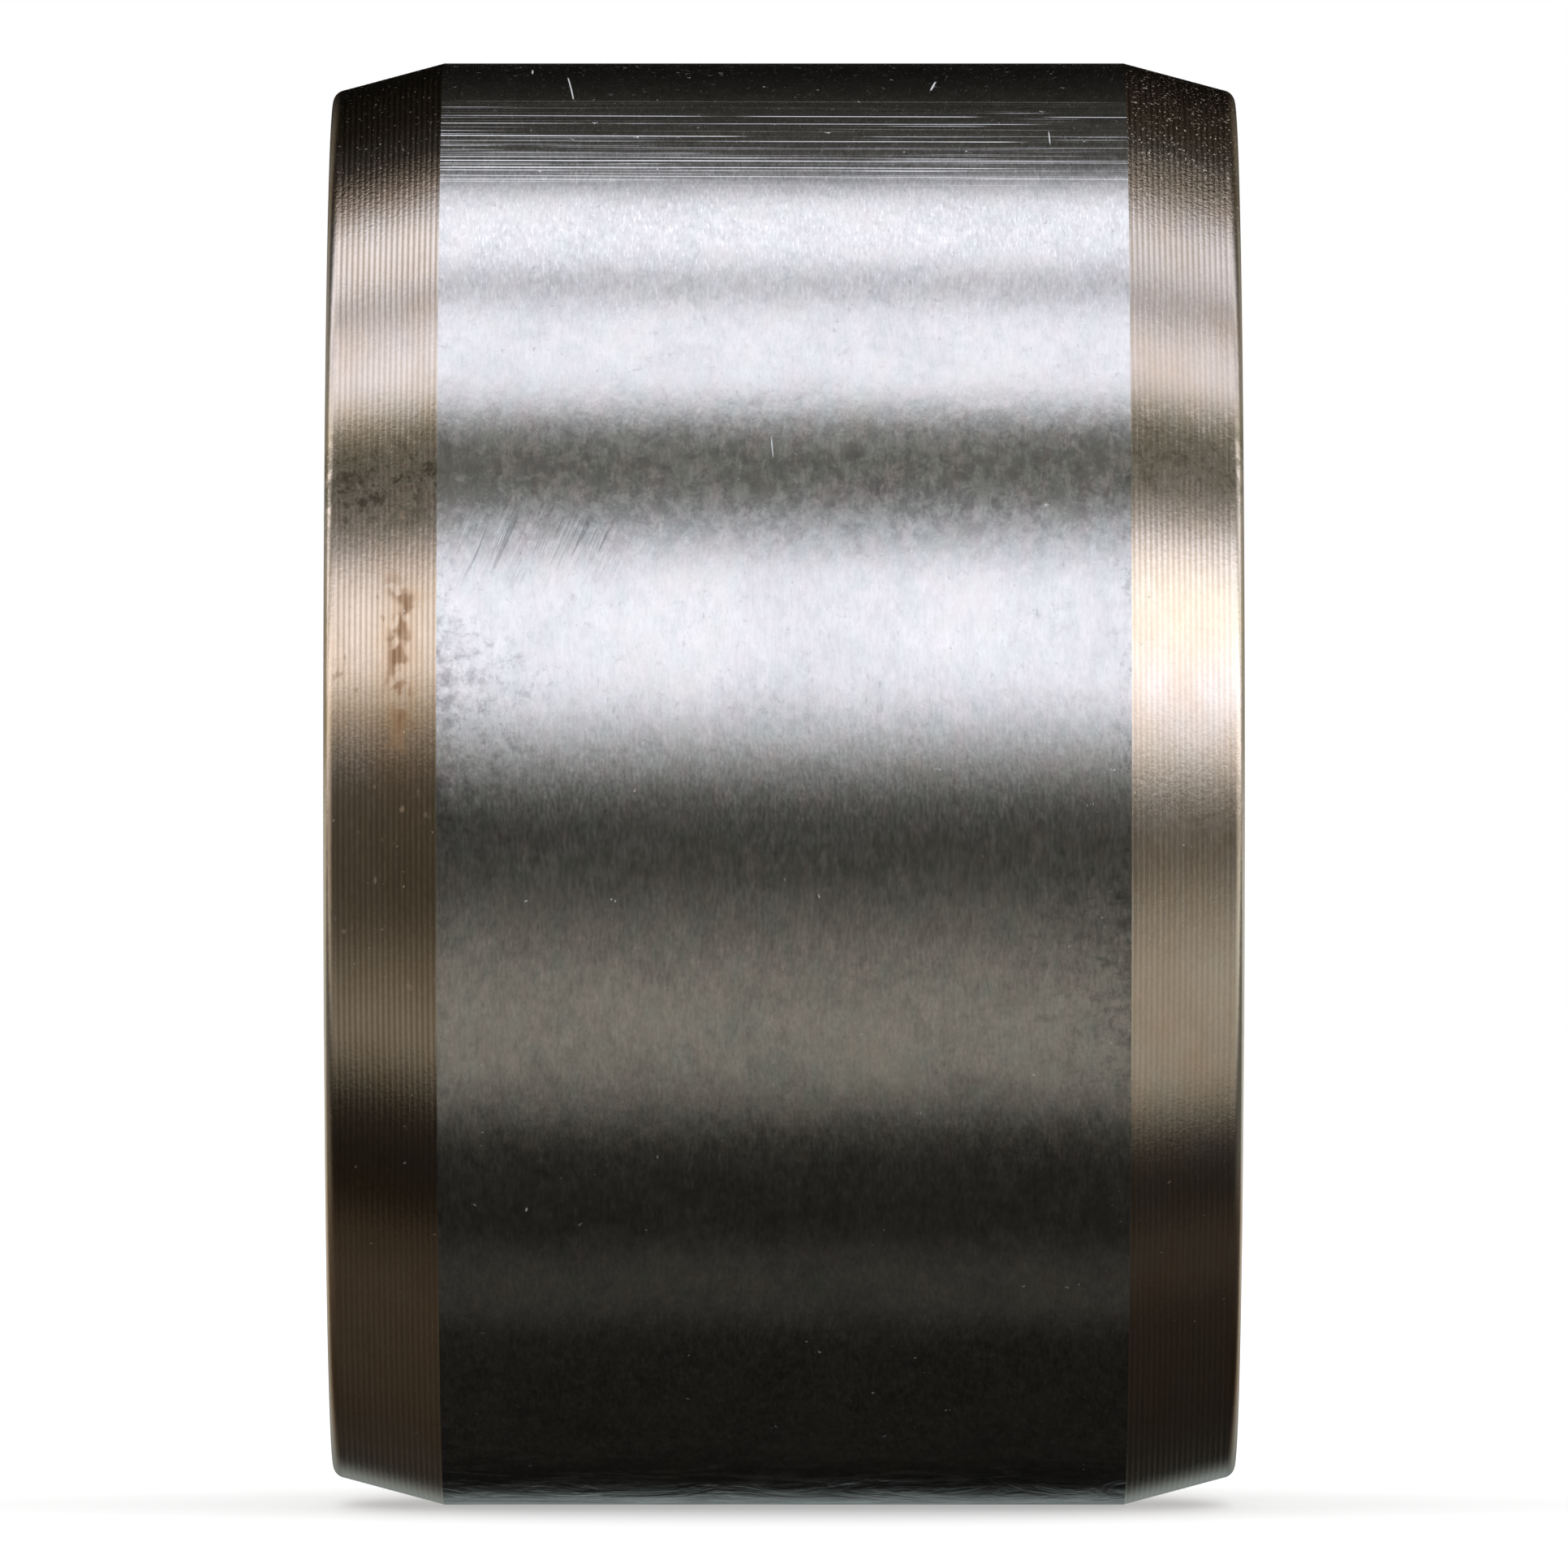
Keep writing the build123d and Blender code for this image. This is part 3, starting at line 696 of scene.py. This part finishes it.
    # rust on the left taper, following the grooves: a soft stain with darker dots
    drift = s.m("ADD", x, s.m("MULTIPLY", s.m("SUBTRACT", s.noise(scaled(s, mm, 0.5, 0.55), 1.0, 2.0, 0.6), 0.5), 2.2))
    zone = s.m("MULTIPLY", s.window(drift, -21.7, -19.9, 0.7), s.window(th, 1.0, 17.0, 4.0))
    core = s.m("MULTIPLY", s.window(drift, -21.2, -20.5, 0.35), s.window(th, 3.5, 16.0, 2.0))
    spots = s.noise(scaled(s, mm, 1.1, 0.8), 1.0, 2.0, 0.55)
    veil = s.m("MULTIPLY", zone, s.ramp(spots, 0.30, 0.60, 0.25, 1.0))
    few = s.m("MULTIPLY", s.ramp(spots, 0.66, 0.76), s.m("MULTIPLY", left, s.window(th, -24.0, 30.0, 12.0)))
    rust = s.m("MAXIMUM", s.m("MULTIPLY", core, s.ramp(spots, 0.40, 0.53)), s.m("MULTIPLY", few, 0.6))
    rust = s.m("MULTIPLY", rust, s.m("ADD", 0.62, s.m("MULTIPLY", hollow, 0.38)))
    base = s.mix(s.m("MULTIPLY", veil, 0.50), base, (0.58, 0.36, 0.19))
    base = s.mix(s.m("MULTIPLY", rust, 0.86), base, (0.215, 0.105, 0.045))
    # bright specks of bare metal and dust
    d, col = s.voronoi(s.v("ADD", scaled(s, mm, 2.6, 2.1), s.v("SCALE", s.xyz(grit, fine, patch), scale=1.1)))
    glint = s.window(th, 51.0, 118.0, 7.0)
    spark = s.m("MULTIPLY", s.ramp(d, 0.20, 0.06), s.ramp(s.m("ADD", s.split(col)[0], s.m("MULTIPLY", glint, 0.20)), 0.93, 0.97))
    base = s.mix(s.m("MULTIPLY", spark, 0.6), base, (0.90, 0.88, 0.85))
    nicks = s.noise(scaled(s, mm, 6.5, 3.4), 1.0, 3.0, 0.7, 0.5)
    nicks = s.m("MULTIPLY", s.ramp(nicks, s.lerp(left, 0.58, 0.63), 0.74), s.m("MULTIPLY", s.window(th, 51.0, 86.0, 6.0), s.ramp(x, -12.0, 22.0, 0.45, 1.0)))
    base = s.mix(s.m("MULTIPLY", nicks, 0.7), base, (0.88, 0.85, 0.80))
    s.put(b.inputs["Base Color"], base)
    s.put(b.inputs["Metallic"], s.m("SUBTRACT", s.m("SUBTRACT", s.m("SUBTRACT", 1.0, s.m("MULTIPLY", rust, 0.35)), s.m("MULTIPLY", nicks, 0.60)), s.m("MULTIPLY", soot, 0.45)))
    rough = s.m("ADD", 0.12, s.m("MULTIPLY", fine, 0.10))
    rough = s.m("ADD", rough, s.m("MULTIPLY", blot, 0.03))
    rough = s.m("SUBTRACT", rough, s.m("MULTIPLY", s.window(th, 50.0, 125.0, 6.0), 0.05))
    rough = s.lerp(rust, rough, 0.34)
    rough = s.lerp(spark, rough, 0.6)
    rough = s.lerp(nicks, rough, 0.55)
    rough = s.lerp(rim, rough, 0.22)
    s.put(b.inputs["Roughness"], rough)
    h = s.m("ADD", s.m("MULTIPLY", fine, 0.7), s.m("MULTIPLY", grit, s.m("ADD", 0.7, s.m("ADD", s.m("MULTIPLY", s.window(th, 50.0, 125.0, 6.0), s.lerp(left, 2.6, 1.6)), s.m("MULTIPLY", s.window(th, 54.0, 61.0, 2.0), s.lerp(left, 2.2, 0.6))))))
    s.put(b.inputs["Normal"], s.bump(h, 0.0000085))
    circular(s, b, 0.35)
    return mat


# ---------------------------------------------------------------- faced ends
def faced_steel():
    mat, s, b, out, mm = material("faced_steel")
    x, y, z, r, th = around(s, mm)
    # the facing cut's rings, slightly off centre and uneven
    wob = s.noise(scaled(s, mm, 0.05, 0.05), 1.0, 2.0, 0.5)
    rr = s.m("ADD", r, s.m("MULTIPLY", wob, 0.25))
    u = s.m("FRACT", s.m("DIVIDE", rr, 0.26))
    hollow = s.m("MULTIPLY", s.m("MULTIPLY", u, s.m("SUBTRACT", 1.0, u)), 4.0)
    lines = s.noise(s.xyz(s.m("MULTIPLY", rr, 2.2), s.m("MULTIPLY", s.split(scaled(s, mm, 0.1, 0.05))[1], 1.0), s.split(scaled(s, mm, 0.1, 0.05))[2]), 1.0, 3.0, 0.65)
    cloud = s.noise(scaled(s, mm, 0.14, 0.14), 1.0, 3.0, 0.6, 0.5)
    stain = s.noise(scaled(s, mm, 0.4, 0.4), 1.0, 4.0, 0.7, 0.6)
    tint = s.mix(s.m("ADD", 0.15, s.m("MULTIPLY", s.ramp(cloud, 0.42, 0.66), 0.5)), (0.74, 0.735, 0.73), (0.68, 0.59, 0.48))
    tone = s.m("ADD", 1.0, s.m("MULTIPLY", s.m("SUBTRACT", lines, 0.5), 0.7))
    # painted shade: the hollows of the facing rings darkened
    tone = s.m("MULTIPLY", tone, s.m("SUBTRACT", 1.0, s.m("MULTIPLY", hollow, 0.22)))
    base = s.mix(1.0, tint, s.grey(tone), "MULTIPLY")
    base = s.mix(s.m("MULTIPLY", s.ramp(stain, 0.60, 0.72), 0.4), base, (0.28, 0.22, 0.16))
    s.put(b.inputs["Base Color"], base)
    b.inputs["Metallic"].default_value = 1.0
    s.put(b.inputs["Roughness"], s.m("ADD", 0.22, s.m("MULTIPLY", lines, 0.14)))
    h = s.m("ADD", s.m("MULTIPLY", lines, 0.7), s.m("MULTIPLY", hollow, -0.8))
    s.put(b.inputs["Normal"], s.bump(h, 0.00001))
    circular(s, b, 0.7)
    return mat


# ---------------------------------------------------------------- bore, keyway, tapped holes
def bored_steel():
    mat, s, b, out, mm = material("bored_steel")
    x, y, z, r, th = around(s, mm)
    fine = s.noise(scaled(s, mm, 7.0, 0.35), 1.0, 3.0, 0.65)
    cloud = s.noise(scaled(s, mm, 0.2, 0.15), 1.0, 3.0, 0.6, 0.5)
    honed = s.noise(s.xyz(s.m("MULTIPLY", s.m("ADD", x, s.m("MULTIPLY", th, 0.22)), 3.0), s.m("MULTIPLY", x, 0.2), 1.0), 1.0, 2.0, 0.6)
    tone = s.m("ADD", 0.92, s.m("MULTIPLY", s.m("SUBTRACT", fine, 0.5), 0.4))
    tone = s.m("ADD", tone, s.m("MULTIPLY", s.m("SUBTRACT", cloud, 0.5), 0.2))
    base = s.mix(1.0, s.mix(s.ramp(cloud, 0.45, 0.7), (0.72, 0.72, 0.725), (0.66, 0.61, 0.53)), s.grey(tone), "MULTIPLY")
    s.put(b.inputs["Base Color"], base)
    b.inputs["Metallic"].default_value = 1.0
    s.put(b.inputs["Roughness"], s.m("ADD", 0.2, s.m("MULTIPLY", fine, 0.12)))
    h = s.m("ADD", fine, s.m("MULTIPLY", honed, 0.5))
    s.put(b.inputs["Normal"], s.bump(h, 0.00001))
    circular(s, b, 0.5)
    return mat


def broached_steel():
    mat, s, b, out, mm = material("broached_steel")
    lines = s.noise(scaled(s, mm, 0.08, 4.5), 1.0, 3.0, 0.65)
    chat = s.noise(scaled(s, mm, 0.9, 0.2), 1.0, 2.0, 0.5)
    tone = s.m("ADD", 0.85, s.m("MULTIPLY", s.m("SUBTRACT", lines, 0.5), 0.5))
    s.put(b.inputs["Base Color"], s.mix(1.0, s.mix(chat, (0.68, 0.68, 0.69), (0.62, 0.58, 0.52)), s.grey(tone), "MULTIPLY"))
    b.inputs["Metallic"].default_value = 1.0
    s.put(b.inputs["Roughness"], s.m("ADD", 0.26, s.m("MULTIPLY", lines, 0.14)))
    s.put(b.inputs["Normal"], s.bump(s.m("ADD", lines, s.m("MULTIPLY", chat, 0.8)), 0.00002))
    return mat


def tapped_steel():
    mat, s, b, out, mm = material("tapped_steel")
    grain = s.noise(scaled(s, mm, 3.0, 3.0), 1.0, 3.0, 0.65)
    big = s.noise(scaled(s, mm, 0.5, 0.5), 1.0, 2.0, 0.5)
    base = s.mix(s.ramp(big, 0.4, 0.65), (0.60, 0.60, 0.605), (0.50, 0.455, 0.39))
    base = s.mix(1.0, base, s.grey(s.m("ADD", 0.8, s.m("MULTIPLY", grain, 0.3))), "MULTIPLY")
    s.put(b.inputs["Base Color"], base)
    b.inputs["Metallic"].default_value = 1.0
    s.put(b.inputs["Roughness"], s.m("ADD", 0.22, s.m("MULTIPLY", grain, 0.2)))
    s.put(b.inputs["Normal"], s.bump(grain, 0.00002))
    return mat


for slot, made in enumerate((ground_steel(), turned_steel(), faced_steel(), bored_steel(), broached_steel(), tapped_steel())):
    sleeve.data.materials[slot] = made


# ---------------------------------------------------------------- small parts
def off_axis(s, mm, hx, deg):
    """Distance from a screw row's axis, and height along it."""
    w = (0.0, math.cos(math.radians(deg)), math.sin(math.radians(deg)))
    d = s.v("SUBTRACT", mm, (hx, 0.0, 0.0))
    h = s.v("DOT_PRODUCT", d, w)
    flat = s.v("SUBTRACT", d, s.v("SCALE", w, scale=h))
    return s.v("LENGTH", flat), h


def black_oxide(name, hx, deg, top):
    mat, s, b, out, mm = material(name)
    rad, h = off_axis(s, mm, hx, deg)
    grain = s.noise(scaled(s, mm, 6.0, 6.0), 1.0, 3.0, 0.7)
    cloud = s.noise(scaled(s, mm, 0.7, 0.7), 1.0, 3.0, 0.6, 0.3)
    base = s.mix(s.ramp(cloud, 0.35, 0.7), (0.040, 0.041, 0.046), (0.075, 0.062, 0.050))
    # the finish wears off the thread's crests and the socket's rim
    crest = s.m("MULTIPLY", s.ramp(rad, 4.86, 4.93), s.ramp(grain, 0.38, 0.62))
    rim = s.m("MULTIPLY", s.window(rad, 2.75, 3.2, 0.14), s.ramp(h, top - 0.45, top - 0.02))
    rim = s.m("MULTIPLY", rim, s.ramp(grain, 0.40, 0.60))
    wear = s.m("MAXIMUM", s.m("MULTIPLY", crest, 0.8), s.m("MULTIPLY", rim, 0.7))
    base = s.mix(wear, base, (0.46, 0.45, 0.44))
    s.put(b.inputs["Base Color"], base)
    b.inputs["Metallic"].default_value = 0.92
    b.inputs["Specular IOR Level"].default_value = 0.6
    s.put(b.inputs["Roughness"], s.m("ADD", 0.24, s.m("MULTIPLY", grain, 0.22)))
    s.put(b.inputs["Normal"], s.bump(grain, 0.000012))
    return mat


def turned_brass(name, hx, deg):
    mat, s, b, out, mm = material(name)
    rad, h = off_axis(s, mm, hx, deg)
    rings = s.noise(s.xyz(s.m("MULTIPLY", rad, 7.0), s.m("MULTIPLY", h, 7.0), 0.0), 1.0, 3.0, 0.6)
    grain = s.noise(scaled(s, mm, 5.0, 5.0), 1.0, 3.0, 0.7)
    cloud = s.noise(scaled(s, mm, 0.6, 0.6), 1.0, 3.0, 0.6, 0.4)
    base = s.mix(s.ramp(cloud, 0.38, 0.68), (0.80, 0.60, 0.27), (0.60, 0.41, 0.19))
    base = s.mix(1.0, base, s.grey(s.m("ADD", 0.85, s.m("MULTIPLY", rings, 0.3))), "MULTIPLY")
    s.put(b.inputs["Base Color"], base)
    b.inputs["Metallic"].default_value = 1.0
    s.put(b.inputs["Roughness"], s.m("ADD", 0.2, s.m("MULTIPLY", rings, 0.16)))
    s.put(b.inputs["Normal"], s.bump(s.m("ADD", rings, s.m("MULTIPLY", grain, 0.4)), 0.000012))
    return mat


def spring_steel():
    mat, s, b, out, mm = material("spring_steel")
    x, y, z, r, th = around(s, mm)
    grain = s.noise(scaled(s, mm, 7.0, 7.0), 1.0, 3.0, 0.7)
    cloud = s.noise(scaled(s, mm, 0.35, 0.35), 1.0, 3.0, 0.6, 0.4)
    base = s.mix(s.ramp(cloud, 0.38, 0.66), (0.105, 0.102, 0.10), (0.17, 0.15, 0.125))
    # sheared edges are brighter than the phosphated faces
    edge = s.m("MULTIPLY", s.ramp(s.m("ABSOLUTE", x), 0.80, 0.87), s.ramp(grain, 0.50, 0.62))
    base = s.mix(s.m("MULTIPLY", edge, 0.25), base, (0.42, 0.40, 0.37))
    s.put(b.inputs["Base Color"], base)
    b.inputs["Metallic"].default_value = 0.95
    s.put(b.inputs["Roughness"], s.m("ADD", 0.36, s.m("MULTIPLY", grain, 0.2)))
    s.put(b.inputs["Normal"], s.bump(grain, 0.00002))
    return mat


def paint(o, mat):
    o.data.materials.clear()
    o.data.materials.append(mat)


for (end, row), (body, hx, deg, top) in SCREWS.items():
    paint(body, black_oxide(f"black_oxide_{end}_{row}", hx, deg, top))
    pad = NODES[f"shaft_pad_{end}_{row}"]
    paint(pad, turned_brass(f"turned_brass_{end}_{row}", hx, deg))
paint(NODES["stop_ring"], spring_steel())


# ---------------------------------------------------------------- stage
def stage():
    size = 3.0
    z = cad_lo.z
    fl = mesh_object("floor", [(-size, -size, z), (size, -size, z), (size, size, z), (-size, size, z)], [(0, 1, 2, 3)])
    mat = bpy.data.materials.new("floor")
    mat.use_nodes = True
    t = mat.node_tree
    t.nodes.clear()
    s = Shade(t)
    out = s.node("ShaderNodeOutputMaterial")
    d = s.node("ShaderNodeBsdfDiffuse")
    d.inputs["Color"].default_value = (0.62, 0.62, 0.62, 1)
    glow = s.node("ShaderNodeEmission")
    glow.inputs[0].default_value = (1, 1, 1, 1)
    glow.inputs[1].default_value = 0.42
    lit = s.node("ShaderNodeAddShader")
    s.put(lit.inputs[0], d.outputs[0])
    s.put(lit.inputs[1], glow.outputs[0])
    clear = s.node("ShaderNodeBsdfTransparent")
    mixer = s.node("ShaderNodeMixShader")
    s.put(mixer.inputs[0], s.node("ShaderNodeNewGeometry").outputs["Backfacing"])
    s.put(mixer.inputs[1], lit.outputs[0])
    s.put(mixer.inputs[2], clear.outputs[0])
    s.put(out.inputs[0], mixer.outputs[0])
    fl.data.materials.append(mat)
    fl.visible_glossy = False


stage()


def studio():
    """A white room seen by the camera and the floor. The metal sees soft boxes that stay put relative to the camera."""
    world = bpy.data.worlds.new("studio")
    bpy.context.scene.world = world
    world.use_nodes = True
    world.cycles.sampling_method = "NONE"
    t = world.node_tree
    t.nodes.clear()
    s = Shade(t)
    out = s.node("ShaderNodeOutputWorld")
    to_cam = s.node("ShaderNodeVectorTransform", vector_type="VECTOR", convert_from="WORLD", convert_to="CAMERA")
    s.put(to_cam.inputs[0], s.node("ShaderNodeTexCoord").outputs["Generated"])
    x, y, z = s.split(to_cam.outputs[0])
    # up: 0 towards the camera, 90 overhead, 180 behind the object, negative below; side: -90 left to 90 right
    up = s.m("MULTIPLY", s.m("ARCTAN2", y, s.m("MULTIPLY", z, -1.0)), 180 / math.pi)
    side = s.m("MULTIPLY", s.m("ARCSINE", s.m("MAXIMUM", s.m("MINIMUM", x, 1.0), -1.0)), 180 / math.pi)
    tilt = s.m("DIVIDE", s.m("MAXIMUM", s.m("MINIMUM", side, 36.0), -36.0), 30.0)

    def box(lo_, hi_, soft_lo, soft_hi, level, left=(1.0, 0.0, 0.0), right=(1.0, 0.0, 0.0)):
        """A soft box from lo_ to hi_ degrees up. left and right are its gain, and the shift of its lower and upper edge, 30 degrees to that side."""
        def at_side(k, middle):
            return s.lerp(s.m("ABSOLUTE", tilt), middle, s.lerp(s.ramp(tilt, -0.01, 0.01), left[k], right[k]))
        bottom = s.ramp(s.m("SUBTRACT", up, at_side(1, 0.0)), lo_ - soft_lo, lo_ + soft_lo)
        top = s.ramp(s.m("SUBTRACT", up, at_side(2, 0.0)), hi_ - soft_hi, hi_ + soft_hi, 1.0, 0.0)
        return s.m("MULTIPLY", s.m("MULTIPLY", top, bottom), s.m("MULTIPLY", at_side(0, 1.0), level))

    def total_of(parts):
        sum_ = parts[0]
        for p in parts[1:]:
            sum_ = s.m("ADD", sum_, p)
        return sum_

    # overhead boxes, and the front box, which is larger and brighter to the right
    cool = total_of([
        box(89.4, 110.6, 5.0, 7.5, 1.13, (0.99, 2.5, 0), (0.74, 2.5, 0)),
        box(61.4, 85.4, 5.0, 8.0, 1.14, (0.93, 4.5, 2.0), (0.84, 4.8, 1.5)),
        box(7.4, 40.0, 12.0, 8.5, 1.13, (0.98, 6.0, 0), (1.20, -2.2, 4.5))])
    # the floor and the room between the boxes
    warm = total_of([
        box(-51.6, -24.0, 8.0, 14.0, 0.188, (1.18, 1, -9), (1.60, -7, 2)),
        box(-30.0, 4.0, 14.0, 8.0, 0.026, (1.8, 0, 5), (2.7, 0, 3)),
        box(-95.0, -79.0, 5.0, 5.0, 0.032, (1.2, 0, 0), (0.9, 0, 0)),
        box(42.0, 64.0, 6.0, 6.0, 0.150, (0.5, 0, 0), (0.7, 0, 0)),
        box(104.0, 134.0, 10.0, 14.0, 0.034, (0.1, 0, 0), (1.2, 0, 0)),
        box(-76.0, 150.0, 12.0, 12.0, 0.012, (0.6, 0, -40), (1.4, 0, 0)),
        box(-175.0, -94.0, 4.0, 8.0, 0.0015, (46.0, 0, 0), (15.0, 0, 0)),
        0.0042])
    aside = s.m("ABSOLUTE", side)
    sides = s.m("MULTIPLY", s.ramp(aside, 36.0, 62.0), s.ramp(up, -75.0, -20.0, 0.05, 0.29))
    behind = s.m("MULTIPLY", s.ramp(s.m("ABSOLUTE", up), 140.0, 156.0), s.ramp(aside, 7.0, 28.0))
    warm = s.m("ADD", warm, s.m("MAXIMUM", sides, s.m("MULTIPLY", behind, 0.26)))
    grazing = s.m("MULTIPLY", s.ramp(up, -153.0, -168.0), 0.26)
    total = s.v("ADD", s.v("SCALE", s.mix(s.ramp(up, 13.0, -3.0), (1.0, 0.998, 1.08), (1.05, 1.0, 0.92)), scale=cool), s.v("SCALE", (1.065, 1.0, 0.84), scale=warm))
    total = s.v("ADD", total, s.v("SCALE", (0.86, 1.0, 0.99), scale=grazing))
    seen = s.node("ShaderNodeBackground")
    s.put(seen.inputs[0], total)
    white = s.node("ShaderNodeBackground")
    white.inputs[0].default_value = (1, 1, 1, 1)
    lp = s.node("ShaderNodeLightPath")
    s.put(white.inputs[1], s.lerp(lp.outputs["Is Camera Ray"], 1.22, 1.0))
    mixer = s.node("ShaderNodeMixShader")
    s.put(mixer.inputs[0], lp.outputs["Is Glossy Ray"])
    s.put(mixer.inputs[1], white.outputs[0])
    s.put(mixer.inputs[2], seen.outputs[0])
    s.put(out.inputs[0], mixer.outputs[0])


studio()

sc = bpy.context.scene
sc.view_settings.view_transform = "Standard"
sc.view_settings.look = "None"

cam = bpy.data.objects.new("camera", bpy.data.cameras.new("camera"))
sc.collection.objects.link(cam)
cam.data.sensor_width = 36.0
cam.data.lens = 36.0 * (22.19 * 1640.0) / 1932.0
cam.location = (0.0, -1.64, 0.0)
cam.rotation_euler = (math.pi / 2, 0, 0)
cam.data.clip_start, cam.data.clip_end = 0.05, 20.0
sc.camera = cam
